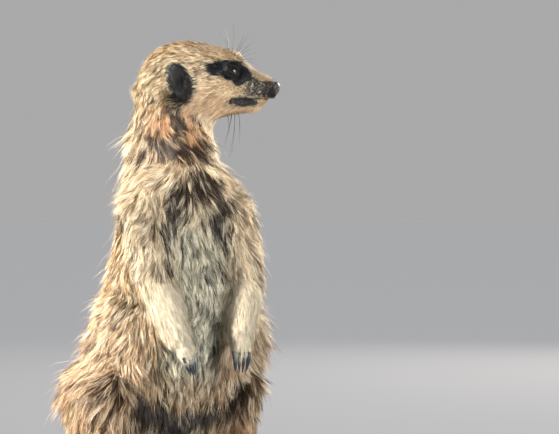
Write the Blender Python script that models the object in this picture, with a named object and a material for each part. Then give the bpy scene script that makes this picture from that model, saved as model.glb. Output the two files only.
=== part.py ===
"""A life-size meerkat sitting up on its haunches, head turned to its left.

The animal faces -Y with +Z up, and the origin is the middle of the flat it sits on.
Each body part is a closed solid out to the tips of the coat. Parts that would run into
each other are cut back by a grown copy of their neighbour, which leaves a thin parting.
Sizes are in millimetres until mesh_object() turns them into metres.
"""

from math import cos, pi, radians, sin

import bmesh
import bpy
from mathutils import Matrix, Vector

MM = 0.001
PARTING = 0.3  # gap between neighbouring parts
FLOOR = Vector((0, 0, 0))
UP = Vector((0, 0, 1))
ACROSS = Vector((1, 0, 0))  # towards the animal's left

# Head: its own frame runs forward to the nose, up, and out to a side.
HEAD_TURN = 68.0  # degrees from straight ahead towards the animal's left
HEAD_CENTRE = Vector((4.1, -31.6, 220.5))  # between the ears
SKULL = [  # forward, top, bottom, level of the widest point, half width
    (-22.5, 4, -15, -4, 10.5),
    (-19.5, 13.5, -20, -3, 18),
    (-13.5, 20.0, -23, -2, 22.5),
    (-6, 23.6, -23, -1.5, 24.6),
    (4, 25.0, -22.5, -2, 25.2),
    (13, 24.0, -21, -2.5, 24.4),
    (21, 22.0, -19, -1.5, 22.6),
    (28, 20.4, -14.5, 0.5, 19.8),
    (33, 18.2, -11, 2.0, 16.6),
    (37, 12.8, -9.4, 1.6, 13.4),
    (41.5, 8.8, -8.6, 0.4, 11.2),
    (46.5, 6.2, -8.2, -0.8, 9.4),
    (50.5, 4.2, -7.6, -1.6, 7.4),
    (53.2, 1.8, -6.4, -2.2, 5.0),
]
JAW = [
    (8, -4, -20.5, -11, 18.5),
    (20, -4, -19.5, -10.5, 16.5),
    (29, -4, -17.4, -9.5, 13),
    (37, -4.5, -15.6, -9.0, 10),
    (42.5, -5, -14.8, -9.4, 7.8),
    (45, -6, -12.6, -9.6, 5.6),
]
EYE_PLACE = (28.2, 6.8, 14.2)  # forward, up, out
EYE_RADIUS = 5.0
EAR_PLACE = (0.6, 0.0, 25.6)
EAR_SIZE = (6.6, 4.6, 12.0)  # forward, out, up
EAR_LEAN = 13.0  # degrees, top leaning back
EAR_HOLLOW = (3.2, 5.2, -0.6)  # where the hollow sits on the ear
EAR_HOLLOW_SIZE = (5.0, 4.2, 8.6)
NOSE_PLACE = (51.3, -1.6, 0.0)
NOSE_SIZE = (3.3, 4.3, 3.7)

NECK = [  # x, y, z, half width, back, front
    (0, -36, 160, 27, 27, 26),
    (0, -33.5, 176, 26.5, 26, 25.5),
    (0, -31.5, 190, 25.2, 25.2, 24.6),
    (1, -31, 204, 24.6, 24.2, 24),
    (2.5, -32, 216, 22, 22, 20),
]
TRUNK = [
    (0, 0.5, -8, 26, 20, 18),
    (0, -1.5, 6, 34, 28, 22),
    (0, -6, 24, 41, 33, 29),
    (0, -10, 45, 46, 35, 36),
    (2.5, -15, 65, 50, 36, 40),
    (5, -21, 85, 51, 35.5, 39.5),
    (3.5, -28, 107, 45, 34, 36),
    (0.5, -34, 130, 36.5, 31.5, 31),
    (0, -38, 152, 33, 29.5, 27),
    (1.5, -40, 167, 32.5, 29, 26),
    (2.5, -39, 178, 28, 26.5, 24.5),
]

# Arms: the hands hang before the belly, each at its own place.
ARMS = {
    "left": {
        "shoulder": (24.5, -49, 157),
        "elbow": (33.5, -55, 115),
        "wrist": (24.5, -70, 84),
        "knuckles": (24.0, -73, 78.5),
    },
    "right": {
        "shoulder": (-24.5, -49, 157),
        "elbow": (-20.5, -60.5, 115.5),
        "wrist": (-10.5, -70, 83),
        "knuckles": (-7.4, -75, 77.2),
    },
}
UPPER_ARM = [(14.5, 15, 15), (14.5, 15, 15), (12.0, 12.5, 12)]  # half width, rise, drop
FOREARM = [(11.2, 11.8, 11), (10.6, 11, 10.2), (8.8, 8.8, 8.2)]
PALM = (6.6, 5.4, 5.0)
FINGER = (4.6, 2.2, -0.1)  # reach, radius, fan
FORE_CLAW = (8.8, 1.05)  # length, root radius

# Legs: joints of the left one, which the right one mirrors.
HIP = (28, 4, 48)
KNEE = (37.5, -46, 57)
ANKLE = (34, -20, 12)
HEEL = (30, -10, 8)
TOES = (36, -72, 5.5)
THIGH = [(22, 26, 30), (27.5, 30, 38), (23.5, 26, 32), (15.5, 16, 18)]
SHIN = [(11.5, 11.5, 11.5), (14, 14, 13), (10.5, 10.5, 10)]
SOLE = (10.5, 6.8, 8.5)
TOE = (9.0, 3.6, 0.12)
HIND_CLAW = (8.0, 1.2)
DIGITS = 4

TAIL_PATH = [  # centre line and radius, from the root to the tip
    (0, 12, 22, 13.0),
    (3, 32, 14, 12.0),
    (14, 54, 10.2, 10.4),
    (34, 72, 8.8, 9.0),
    (60, 78, 7.8, 8.0),
    (84, 68, 7.0, 7.2),
    (100, 48, 6.2, 6.4),
    (106, 24, 5.4, 5.6),
    (104, 2, 4.4, 4.6),
]
TAIL_LENGTHS = ("tail_base", "tail_middle", "tail_tip")

COLOURS = {
    "fur": (0.55, 0.42, 0.28),
    "dark_fur": (0.07, 0.05, 0.045),
    "eye": (0.03, 0.017, 0.01),
    "nose": (0.05, 0.035, 0.035),
    "claw": (0.045, 0.05, 0.06),
}


def clear_scene():
    for obj in list(bpy.data.objects):
        bpy.data.objects.remove(obj, do_unlink=True)


def new_collection(name):
    made = bpy.data.collections.new(name)
    bpy.context.scene.collection.children.link(made)
    return made


def material(name, roughness):
    made = bpy.data.materials.new(name)
    made.use_nodes = True
    shader = made.node_tree.nodes["Principled BSDF"]
    shader.inputs["Base Color"].default_value = (*COLOURS[name], 1)
    shader.inputs["Roughness"].default_value = roughness
    shader.inputs["Metallic"].default_value = 0
    return made


def mesh_object(name, bm, finish="fur", roughness=0.8):
    """A mesh in millimetres becomes a smooth object in metres in the animal's collection."""
    bmesh.ops.scale(bm, vec=(MM, MM, MM), verts=bm.verts)
    bmesh.ops.recalc_face_normals(bm, faces=bm.faces)
    mesh = bpy.data.meshes.new(name)
    bm.to_mesh(mesh)
    bm.free()
    mesh.materials.append(material(finish, roughness))
    mesh.shade_smooth()
    obj = bpy.data.objects.new(name, mesh)
    animal.objects.link(obj)
    return obj


def eased(rows, where):
    """Catmull-Rom through rows of numbers; where runs from 0 to len(rows) - 1."""
    last = len(rows) - 1
    i = min(int(where), last - 1)
    t = where - i
    near = [rows[max(0, min(last, i + k))] for k in (-1, 0, 1, 2)]
    weights = (
        (-t + 2 * t * t - t**3) / 2,
        (2 - 5 * t * t + 3 * t**3) / 2,
        (t + 4 * t * t - 3 * t**3) / 2,
        (-t * t + t**3) / 2,
    )
    return [sum(w * row[k] for w, row in zip(weights, near)) for k in range(len(rows[0]))]


def section_frames(centres, out_hint, facing):
    """Along, out and rise at each centre; facing keeps every section square to one way."""
    frames = []
    for k in range(len(centres)):
        ahead, behind = centres[min(k + 1, len(centres) - 1)], centres[max(k - 1, 0)]
        along = facing or (ahead - behind).normalized()
        rise = along.cross(out_hint).normalized()
        frames.append((along, rise.cross(along), rise))
    return frames


def loft(stations, out_hint, rings, sides, ends, facing=None, cap_rings=1):
    """A closed tube through unlike egg-shaped sections.

    A station is (x, y, z, half width, rise, drop). The width lies along out_hint as far as
    the centre line allows, and the drop is on the other side from the rise. Each end runs
    on as a dome, by its share of the half width there.
    """
    steps = [eased(stations, (len(stations) - 1) * k / (rings - 1)) for k in range(rings)]
    centres = [Vector(step[:3]) for step in steps]
    frames = section_frames(centres, out_hint, facing)
    sections = [(centres[k], frames[k], steps[k][3:]) for k in range(rings)]
    poles = []
    for share, (centre, frame, sizes), sign in zip(ends, (sections[0], sections[-1]), (-1, 1)):
        reach = frame[0] * (sign * share * sizes[0])
        dome = [
            (centre + reach * sin(turn), frame, [size * cos(turn) for size in sizes])
            for turn in (radians(75) * (k + 1) / (cap_rings + 0.5) for k in range(cap_rings))
            if share
        ]
        sections = sections + dome if sign > 0 else dome[::-1] + sections
        poles.append(centre + reach)
    bm = bmesh.new()
    loops = []
    for centre, (_, out, rise), (width, up, down) in sections:
        loop = []
        for k in range(sides):
            turn = 2 * pi * k / sides
            height = (up if sin(turn) > 0 else down) * sin(turn)
            loop.append(bm.verts.new(centre + out * (width * cos(turn)) + rise * height))
        loops.append(loop)
    for first, second in zip(loops, loops[1:]):
        for k in range(sides):
            n = (k + 1) % sides
            bm.faces.new((first[k], first[n], second[n], second[k]))
    for loop, place in zip((loops[0], loops[-1]), poles):
        pole = bm.verts.new(place)
        for k in range(sides):
            bm.faces.new((loop[k], loop[(k + 1) % sides], pole))
    return bm


def ball(centre, radii, turn, segments, rings):
    """A squashed sphere with its own turn."""
    bm = bmesh.new()
    bmesh.ops.create_uvsphere(bm, u_segments=segments, v_segments=rings, radius=1)
    bmesh.ops.scale(bm, vec=radii, verts=bm.verts)
    bmesh.ops.rotate(bm, cent=(0, 0, 0), matrix=turn, verts=bm.verts)
    bmesh.ops.translate(bm, vec=centre, verts=bm.verts)
    return bm


def change(target, cutter, operation):
    """Applies one exact Boolean and leaves a plain mesh behind."""
    modifier = target.modifiers.new(operation.lower(), "BOOLEAN")
    modifier.operation = operation
    modifier.object = cutter
    graph = bpy.context.evaluated_depsgraph_get()
    mesh = bpy.data.meshes.new_from_object(target.evaluated_get(graph))
    target.modifiers.remove(modifier)
    spent, target.data = target.data, mesh
    bpy.data.meshes.remove(spent)


def keep_largest_piece(target):
    """Drops the slivers that a cut can leave beside the main body."""
    bm = bmesh.new()
    bm.from_mesh(target.data)
    left, pieces = set(bm.verts), []
    while left:
        piece, front = set(), [left.pop()]
        while front:
            vert = front.pop()
            piece.add(vert)
            for edge in vert.link_edges:
                other = edge.other_vert(vert)
                if other in left:
                    left.remove(other)
                    front.append(other)
        pieces.append(piece)
    largest = max(pieces, key=len)
    bmesh.ops.delete(bm, geom=[v for v in bm.verts if v not in largest], context="VERTS")
    bm.to_mesh(target.data)
    bm.free()


def part_from(target, *neighbours):
    """Cuts the target back from its neighbours, with the parting between them."""
    for neighbour in neighbours:
        cutter = bpy.data.objects.new(neighbour.name + "_cutter", neighbour.data.copy())
        cutter.hide_render = True
        cutter.display_type = "WIRE"
        cutters.objects.link(cutter)
        grow = cutter.modifiers.new("parting", "DISPLACE")
        grow.strength = PARTING * MM
        grow.mid_level = 0
        change(target, cutter, "DIFFERENCE")
        bpy.data.objects.remove(cutter)
    keep_largest_piece(target)


def join(target, *others):
    for other in others:
        change(target, other, "UNION")
        bpy.data.objects.remove(other)


def stand_on_floor(*targets):
    """Cuts a flat on each part where it rests on the floor."""
    for target in targets:
        bm = bmesh.new()
        bm.from_mesh(target.data)
        whole = bm.verts[:] + bm.edges[:] + bm.faces[:]
        bmesh.ops.bisect_plane(bm, geom=whole, plane_co=FLOOR, plane_no=UP, clear_inner=True)
        rim = [edge for edge in bm.edges if edge.is_boundary]
        if rim:
            bmesh.ops.contextual_create(bm, geom=rim)
        bmesh.ops.recalc_face_normals(bm, faces=bm.faces)
        bm.to_mesh(target.data)
        bm.free()


def head_axes():
    forward = Vector((sin(radians(HEAD_TURN)), -cos(radians(HEAD_TURN)), 0))
    return forward, UP.cross(forward), UP


def on_head(forward, up, out):
    ahead, left, above = head_axes()
    return HEAD_CENTRE + ahead * forward + left * out + above * up


def head_matrix():
    """Rotation whose X runs forward, Y to the head's left and Z up."""
    return Matrix(head_axes()).transposed()


def head_loft(rows, rings, sides, ends):
    """Upright sections along the head, each with its own top, bottom and widest level."""
    stations = [
        (*on_head(forward, widest, 0), width, top - widest, widest - bottom)
        for forward, top, bottom, widest, width in rows
    ]
    ahead, left, _ = head_axes()
    return loft(stations, left, rings, sides, ends, facing=ahead, cap_rings=2)


def make_head():
    """Skull and muzzle in one loft, the lower jaw in another, joined."""
    skull = mesh_object("head", head_loft(SKULL, 19, 18, (0.3, 0.25)))
    jaw = mesh_object("jaw", head_loft(JAW, 6, 12, (0.3, 0.3)))
    join(skull, jaw)
    return skull


def make_eyes():
    forward, up, out = EYE_PLACE
    eyes = []
    for side, word in SIDES:
        place = on_head(forward, up, out * side)
        shape = ball(place, [EYE_RADIUS] * 3, head_matrix(), 12, 8)
        eyes.append(mesh_object(f"eye_{word}", shape, "eye", 0.1))
    return eyes


def make_nose():
    shape = ball(on_head(*NOSE_PLACE), NOSE_SIZE, head_matrix(), 12, 8)
    return mesh_object("nose", shape, "nose", 0.4)


def make_ears():
    """A small crescent shell flat on each side of the head, hollow towards the front."""
    turn = head_matrix() @ Matrix.Rotation(radians(-EAR_LEAN), 3, "Y")
    forward, up, out = EAR_PLACE
    ahead, aside, above = EAR_HOLLOW
    ears = []
    for side, word in SIDES:
        shell = ball(on_head(forward, up, out * side), EAR_SIZE, turn, 12, 8)
        ear = mesh_object(f"ear_{word}", shell, "dark_fur")
        place = on_head(forward + ahead, up + above, (out + aside) * side)
        hollow = mesh_object("hollow", ball(place, EAR_HOLLOW_SIZE, turn, 10, 6))
        change(ear, hollow, "DIFFERENCE")
        bpy.data.objects.remove(hollow)
        ears.append(ear)
    return ears


def between(start, end, share):
    return Vector(start).lerp(Vector(end), share)


def limb(name, places, sizes, rings, sides, out_hint=ACROSS, ends=(0.7, 0.7), facing=None):
    """A tube through places, each with its half width, rise and drop."""
    stations = [(*place, *size) for place, size in zip(places, sizes)]
    return mesh_object(name, loft(stations, out_hint, rings, sides, ends, facing))


def make_claw(name, root, aim, droop, size):
    """A tapered hook that turns down towards its tip."""
    length, radius = size
    steps = 3
    path = bpy.data.curves.new(name, "CURVE")
    path.dimensions = "3D"
    path.bevel_depth = radius * MM
    path.bevel_resolution = 1
    path.use_fill_caps = True
    spline = path.splines.new("POLY")
    spline.points.add(steps)
    for k, point in enumerate(spline.points):
        share = k / steps
        place = root + aim * (length * share) + droop * (length * 0.3 * share * share)
        point.co = (*(place * MM), 1)
        point.radius = 1 - 0.8 * share**1.4
    bent = bpy.data.objects.new(name, path)
    animal.objects.link(bent)
    graph = bpy.context.evaluated_depsgraph_get()
    mesh = bpy.data.meshes.new_from_object(bent.evaluated_get(graph))
    bpy.data.objects.remove(bent)
    bm = bmesh.new()
    bm.from_mesh(mesh)
    bpy.data.meshes.remove(mesh)
    bmesh.ops.remove_doubles(bm, verts=bm.verts, dist=1e-6)
    bmesh.ops.scale(bm, vec=(1 / MM, 1 / MM, 1 / MM), verts=bm.verts)
    return mesh_object(name, bm, "claw", 0.35)


def make_paw(name, root, knuckles, aim, across, droop, palm, digit, claw_size):
    """A palm with four digits side by side, each ending in its own claw."""
    width, up, down = palm
    reach, radius, fan = digit
    sizes = [(width * 0.85, up, down), (width * 0.95, up, down), (width, up * 0.8, down * 0.8)]
    places = [root, between(root, knuckles, 0.55), knuckles]
    paw = limb(name, places, sizes, 3, 8, across, (0.3, 0.3))
    digits, claws = [], []
    for k in range(DIGITS):
        offset = 2 * k / (DIGITS - 1) - 1
        heading = (aim + across * (fan * offset)).normalized()
        start = knuckles + across * (width * 0.72 * offset) - aim * 2
        tip = start + heading * (reach * (1 - 0.16 * abs(offset)) + 2)
        bend = tip + droop * (radius * 0.35)
        knuckle = between(start, tip, 0.5) - droop * 0.4
        thick, thin = (radius,) * 3, (radius * 0.86,) * 3
        digits.append(limb(f"digit_{k}", [start, knuckle, bend], [thick, thick, thin], 3, 6, across))
        quick = bend - heading * 0.6 - droop * 0.4
        claws.append(make_claw(f"{name}_claw_{k + 1}", quick, heading, droop, claw_size))
    join(paw, *digits)
    return paw, claws


def make_arm(side, word):
    shoulder, elbow, wrist, knuckles = (Vector(place) for place in ARMS[word].values())
    middle = between(shoulder, elbow, 0.5)
    upper = limb(f"upper_arm_{word}", [shoulder, middle, elbow], UPPER_ARM, 6, 12)
    middle = between(elbow, wrist, 0.5)
    fore = limb(f"forearm_{word}", [elbow, middle, wrist], FOREARM, 5, 12, ends=(0.4, 0.5))
    aim = ((knuckles - wrist).normalized() - UP * 0.7).normalized()
    across = (ACROSS - aim * aim.x + Vector((0, -0.35 * side, 0))).normalized()
    droop = Vector((0, 0.77, -0.63))
    hand, claws = make_paw(
        f"hand_{word}", wrist, knuckles, aim, across, droop, PALM, FINGER, FORE_CLAW
    )
    return upper, fore, hand, claws


def make_leg(side, word):
    flip = Matrix.Diagonal((side, 1, 1))
    hip, knee, ankle, heel, toes = (flip @ Vector(p) for p in (HIP, KNEE, ANKLE, HEEL, TOES))
    rear = hip + Vector((-3 * side, 10, -4))
    middle = between(hip, knee, 0.55)
    towards_knee = (knee - hip).normalized()
    thigh = limb(
        f"thigh_{word}",
        [rear, hip, middle, knee],
        THIGH,
        8,
        16,
        ends=(0.5, 0.75),
        facing=towards_knee,
    )
    middle = between(knee, ankle, 0.5)
    shin = limb(f"shin_{word}", [knee, middle, ankle], SHIN, 5, 12, ends=(0.3, 0.6))
    forward = (toes - heel).normalized()
    across = (ACROSS - forward * forward.x).normalized()
    aim = (forward - UP * 0.06).normalized()
    ball_of_foot = toes - forward * 12
    foot, claws = make_paw(
        f"foot_{word}", heel, ball_of_foot, aim, across, -UP, SOLE, TOE, HIND_CLAW
    )
    stand_on_floor(thigh, shin, foot, *claws)
    return thigh, shin, foot, claws


def make_tail():
    """One tapering tube on the floor, parted square across into three lengths."""
    per_length = (len(TAIL_PATH) - 1) / len(TAIL_LENGTHS)
    tail = []
    for k, name in enumerate(TAIL_LENGTHS):
        stations = []
        for step in range(4):
            x, y, z, radius = eased(TAIL_PATH, per_length * (k + step / 3))
            stations.append((x, y, z, radius, radius, radius))
        end = 0.9 if name == TAIL_LENGTHS[-1] else 0.5
        shape = loft(stations, Vector((0.2, 0.1, 1)), 6, 10, (0.0, end))
        tail.append(mesh_object(name, shape))
    stand_on_floor(*tail)
    return tail


SIDES = ((1, "left"), (-1, "right"))
clear_scene()
animal = new_collection("meerkat")
cutters = new_collection("cutters")

head = make_head()
nose = make_nose()
eyes = make_eyes()
ears = make_ears()
neck = mesh_object("neck", loft(NECK, ACROSS, 6, 16, (0.3, 0.3)))
trunk = mesh_object("trunk", loft(TRUNK, ACROSS, 16, 24, (0.2, 0.3)))
stand_on_floor(trunk)
tail_base, tail_middle, tail_tip = make_tail()

# The outermost parts are cut first, while the neighbours that cut them are still whole.
for side, word in SIDES:
    upper, fore, hand, claws = make_arm(side, word)
    part_from(hand, fore, *claws)
    part_from(fore, upper, trunk)
    part_from(upper, trunk, neck)
    thigh, shin, foot, toe_claws = make_leg(side, word)
    part_from(foot, shin, thigh, trunk, *toe_claws)
    part_from(shin, thigh, trunk)
    part_from(thigh, trunk)
for ear in ears:
    part_from(ear, head)
part_from(neck, trunk, head)
part_from(head, nose, *eyes)
part_from(tail_tip, tail_middle)
part_from(tail_middle, tail_base)
part_from(tail_base, trunk)
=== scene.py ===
import math

import bmesh
import bpy
import numpy as np
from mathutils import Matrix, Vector
from mathutils.bvhtree import BVHTree
from mathutils.kdtree import KDTree


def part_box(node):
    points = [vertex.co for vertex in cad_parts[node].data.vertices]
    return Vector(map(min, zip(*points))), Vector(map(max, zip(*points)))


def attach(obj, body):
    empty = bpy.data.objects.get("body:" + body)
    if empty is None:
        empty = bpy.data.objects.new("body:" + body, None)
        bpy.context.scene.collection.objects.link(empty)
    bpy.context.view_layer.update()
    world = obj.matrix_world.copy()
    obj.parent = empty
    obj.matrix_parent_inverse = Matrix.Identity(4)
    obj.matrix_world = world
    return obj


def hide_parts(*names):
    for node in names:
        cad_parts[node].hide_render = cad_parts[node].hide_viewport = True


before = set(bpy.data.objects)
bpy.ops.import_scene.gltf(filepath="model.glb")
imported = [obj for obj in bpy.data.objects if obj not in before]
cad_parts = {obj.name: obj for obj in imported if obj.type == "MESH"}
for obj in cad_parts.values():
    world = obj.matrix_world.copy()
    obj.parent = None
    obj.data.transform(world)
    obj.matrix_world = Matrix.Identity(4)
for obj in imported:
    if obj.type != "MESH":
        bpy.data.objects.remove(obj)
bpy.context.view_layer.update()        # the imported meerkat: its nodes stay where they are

rng = np.random.default_rng(73)
mm = 0.001


def unit(v):
    return v / np.maximum(np.linalg.norm(v, axis=-1, keepdims=True), 1e-12)


def ramp(x, low, high):
    t = np.clip((x - low) / (high - low), 0, 1)
    return t * t * (3 - 2 * t)


def bump(x, middle, reach):
    return np.exp(-(((x - middle) / reach) ** 2))


def most(*values):
    return np.maximum.reduce(values)


def nodeMiddle(name):
    low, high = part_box(name)
    return np.array((low + high) / 2)


def readAll(items, name, width, kind=np.float32):
    # one property of every item, a row to each
    out = np.empty(len(items) * width, kind)
    items.foreach_get(name, out)
    return out.reshape(-1, width)


def points(mesh):
    return readAll(mesh.vertices, "co", 3).astype(float)


def triangles(mesh):
    mesh.calc_loop_triangles()
    return readAll(mesh.loop_triangles, "vertices", 3, np.int32)


def placePoints(mesh, co):
    mesh.vertices.foreach_set("co", co.astype(np.float32).ravel())
    mesh.update()


def vertexNormals(co, tris):
    corner = co[tris]
    face = np.cross(corner[:, 1] - corner[:, 0], corner[:, 2] - corner[:, 0])
    out = np.zeros_like(co)
    for k in range(3):
        for axis in range(3):
            out[:, axis] += np.bincount(tris[:, k], face[:, axis], len(co))
    return unit(out)


def meshFrom(name, co, faces):
    # every face has the same number of sides
    mesh = bpy.data.meshes.new(name)
    mesh.vertices.add(len(co))
    placePoints(mesh, co)
    mesh.loops.add(faces.size)
    mesh.loops.foreach_set("vertex_index", faces.astype(np.int32).ravel())
    mesh.polygons.add(len(faces))
    starts = np.arange(0, faces.size, faces.shape[1], dtype=np.int32)
    mesh.polygons.foreach_set("loop_start", starts)
    mesh.update(calc_edges=True)
    mesh.shade_smooth()
    return mesh


def addObject(name, data):
    obj = bpy.data.objects.new(name, data)
    bpy.context.scene.collection.objects.link(obj)
    return obj


def finishPiece(obj, material, slot, *nodes):
    obj.data.materials.clear()
    obj.data.materials.append(material)
    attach(obj, "root")
    if nodes:
        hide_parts(*nodes)
    return obj


def remeshed(obj, voxel):
    modifier = obj.modifiers.new("voxels", "REMESH")
    modifier.mode = "VOXEL"
    modifier.voxel_size = voxel
    graph = bpy.context.evaluated_depsgraph_get()
    mesh = bpy.data.meshes.new_from_object(obj.evaluated_get(graph))
    obj.modifiers.clear()
    old, obj.data = obj.data, mesh
    bpy.data.meshes.remove(old)
    return mesh


def tubeFaces(rings, sides, closed=False):
    # quads between rings of points, each ring joined to the next
    ring, side = np.meshgrid(np.arange(rings if closed else rings - 1), np.arange(sides), indexing="ij")
    after, beside = (ring + 1) % rings, (side + 1) % sides
    corners = (ring * sides + side, ring * sides + beside, after * sides + beside, after * sides + side)
    return np.stack(corners, -1).reshape(-1, 4)


def setAttribute(mesh, name, kind, values):
    made = mesh.attributes.new(name, kind, "POINT")
    key = {"FLOAT": "value", "FLOAT_VECTOR": "vector", "FLOAT_COLOR": "color"}[kind]
    made.data.foreach_set(key, values.astype(np.float32).ravel())


def joined(meshes):
    # the points and faces of several meshes as one
    starts = np.cumsum([0] + [len(co) for co, faces in meshes])
    faces = [faces + start for (co, faces), start in zip(meshes, starts)]
    return np.vstack([co for co, _ in meshes]), np.vstack(faces)


def turned(count):
    # angles evenly round a circle
    return np.linspace(0, 2 * math.pi, count, endpoint=False)


def ballGrid(rings, sides, margin):
    # tilt from the front and turn about it, for every point of a ball
    grid = np.meshgrid(np.linspace(margin, math.pi - margin, rings), turned(sides), indexing="ij")
    return [angles.ravel() for angles in grid]


class MeshField:
    # evens out per-vertex values along a mesh's edges
    def __init__(self, mesh):
        pairs = readAll(mesh.edges, "vertices", 2, np.int32)
        both = np.vstack([pairs, pairs[:, ::-1]])
        self.near = both[np.argsort(both[:, 0], kind="stable"), 1]
        counts = np.bincount(both[:, 0], minlength=len(mesh.vertices))
        self.starts = np.concatenate([[0], np.cumsum(counts)[:-1]])
        self.counts = counts[:, None]

    def spread(self, values, rounds, share=0.5):
        out = values if values.ndim > 1 else values[:, None]
        for _ in range(rounds):
            mean = np.add.reduceat(out[self.near], self.starts, axis=0) / self.counts
            out = out + (mean - out) * share
        return out.reshape(values.shape)


# landmarks: the head's own axes come from where its eyes and nose are
upward = np.array((0.0, 0.0, 1.0))
rearward = np.array((0.0, 1.0, 0.0))
eyeAt = {side: nodeMiddle("eye_" + side) for side in ("left", "right")}
noseAt = nodeMiddle("nose")
headLeft = unit(eyeAt["left"] - eyeAt["right"])
headForward = np.cross(headLeft, upward)
headBack = 51.3 * mm        # from the nose back to the point between the ears
headRise = 1.6 * mm         # and up to it
headAt = noseAt - headForward * headBack + upward * headRise
headAxes = np.stack([headForward, headLeft, upward])
sideSigns = {"left": 1, "right": -1}


def headPlace(co):
    # forward, left and up of the point between the ears, in millimetres
    return (co - headAt) @ headAxes.T / mm


def fromHead(place):
    return headAt + np.asarray(place, float) @ headAxes * mm


skinPiece = dict(
    voxel=1.5 * mm,
    voxelFine=1.33 * mm,
    grow=0.35 * mm,           # closes the partings between the solids
    softRounds=26,            # melts the joins between body parts
    collarRounds=90,          # and those of the shoulders and hips
    blendRounds=22,
    foldDepth=2.6,            # of the fold between belly and thighs, in millimetres
    strand=(0.25, 0.5, 0.5),  # the skin is shaded like hair near its root
)

# Per body part, in millimetres: how deep the coat is, how long its hairs are and how wide,
# hairs per square millimetre, and how much they gather into locks.
coatParts = dict(
    head=dict(depth=2.2, length=4.8, width=0.19, density=8.4, lock=0.36),
    ear=dict(depth=0.7, length=2.6, width=0.17, density=9.0, lock=0.15),
    neck=dict(depth=4.4, length=10.0, width=0.23, density=7.2, lock=0.6),
    trunk=dict(depth=5.0, length=12.5, width=0.26, density=6.1, lock=0.66),
    upper_arm=dict(depth=3.6, length=10.0, width=0.24, density=6.8, lock=0.6),
    forearm=dict(depth=2.0, length=5.4, width=0.19, density=8.8, lock=0.22),
    hand=dict(depth=0.9, length=3.6, width=0.17, density=8.8, lock=0.2),
    thigh=dict(depth=6.4, length=16.0, width=0.30, density=3.7, lock=0.66),
    shin=dict(depth=4.2, length=12.5, width=0.29, density=5.4, lock=0.6),
    foot=dict(depth=1.3, length=4.2, width=0.20, density=7.0, lock=0.3),
    tail_base=dict(depth=3.2, length=10.5, width=0.28, density=5.4, lock=0.5),
    tail_middle=dict(depth=2.4, length=8.5, width=0.25, density=5.8, lock=0.45),
    tail_tip=dict(depth=1.6, length=7.5, width=0.22, density=7.6, lock=0.4),
)


def kindOf(node):
    return node.rsplit("_", 1)[0] if node.endswith(("_left", "_right")) else node


fleshNodes = sorted(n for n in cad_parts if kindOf(n) in coatParts)
tailNodes = ("tail_base", "tail_middle", "tail_tip")
print("flesh nodes", len(fleshNodes))


def partPicker(shares):
    # a function that gives each vertex's share of the named parts
    def part(*kinds):
        chosen = [k for k, node in enumerate(fleshNodes) if kindOf(node) in kinds or node in kinds]
        return shares[:, chosen].sum(1)
    return part


def foldLevel(x):
    # height of the fold under the belly, which rises over each thigh
    return 45.5 + 0.0165 * (x - 3) ** 2


def buildSkin():
    settings = skinPiece
    solids = []
    for node in fleshNodes:
        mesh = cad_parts[node].data
        whole, where = np.unique(np.round(points(mesh), 7), axis=0, return_inverse=True)
        tris = where.reshape(-1)[triangles(mesh)]
        solids.append((whole + vertexNormals(whole, tris) * settings["grow"], tris))
    co, tris = joined(solids)
    owner = np.repeat(np.arange(len(solids)), [len(faces) for _, faces in solids])
    tree = BVHTree.FromPolygons(co.tolist(), tris.tolist())
    skin = addObject("skin", meshFrom("skin", co, tris))
    mesh = remeshed(skin, settings["voxel"])
    at = points(mesh)
    nearest = np.array([tree.find_nearest(c)[2] for c in at.tolist()])
    shares = np.zeros((len(at), len(fleshNodes)))
    shares[np.arange(len(at)), owner[nearest]] = 1
    field = MeshField(mesh)
    shares = field.spread(shares, settings["blendRounds"])
    part = partPicker(shares)
    hold = part("hand", "ear", "foot", "head")[:, None]
    soft = field.spread(at, settings["softRounds"])
    collar = bump(soft[:, 2] / mm, 184, 13) * part("neck", "trunk")
    hip = 4 * part("trunk") * part("thigh")
    collar = np.clip(collar + hip, 0, 1)[:, None]
    soft = soft * (1 - collar) + field.spread(soft, settings["collarRounds"]) * collar
    at = soft * (1 - hold) + field.spread(at, 3) * hold
    depth = shares @ np.array([coatParts[kindOf(n)]["depth"] for n in fleshNodes])
    muzzle = ramp(headPlace(at)[:, 0], 24, 40) * part("head")
    depth = depth * (1 - muzzle) + muzzle * 0.8
    x, y, z = (at / mm).T
    wide = np.abs(x)
    fold = bump(z, foldLevel(x), 4.5) * ramp(-y, 26, 38) * (1 - ramp(wide, 36, 48))
    flank = bump(z, 104 - 0.02 * (wide - 24) ** 2, 3.5) * bump(wide, 27, 9) * ramp(-y, 30, 45)
    body = part("trunk", "thigh", "shin")
    depth += settings["foldDepth"] * body * (fold + 0.5 * flank)
    inner = at - vertexNormals(at, triangles(mesh)) * depth[:, None] * mm
    inner[:, 2] = np.maximum(inner[:, 2], 0.5 * mm)
    placePoints(mesh, inner)
    innerTree = BVHTree.FromPolygons(inner.tolist(), [tuple(p.vertices) for p in mesh.polygons])
    firstVertex = np.array([p.vertices[0] for p in mesh.polygons])
    mesh = remeshed(skin, settings["voxelFine"])
    refineHead(mesh)
    at = points(mesh)
    hit = np.array([innerTree.find_nearest(c)[2] for c in at.tolist()])
    shares = MeshField(mesh).spread(shares[firstVertex[hit]], 4)
    placePoints(mesh, sculptHead(mesh, at, partPicker(shares)))
    return skin, shares


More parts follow.
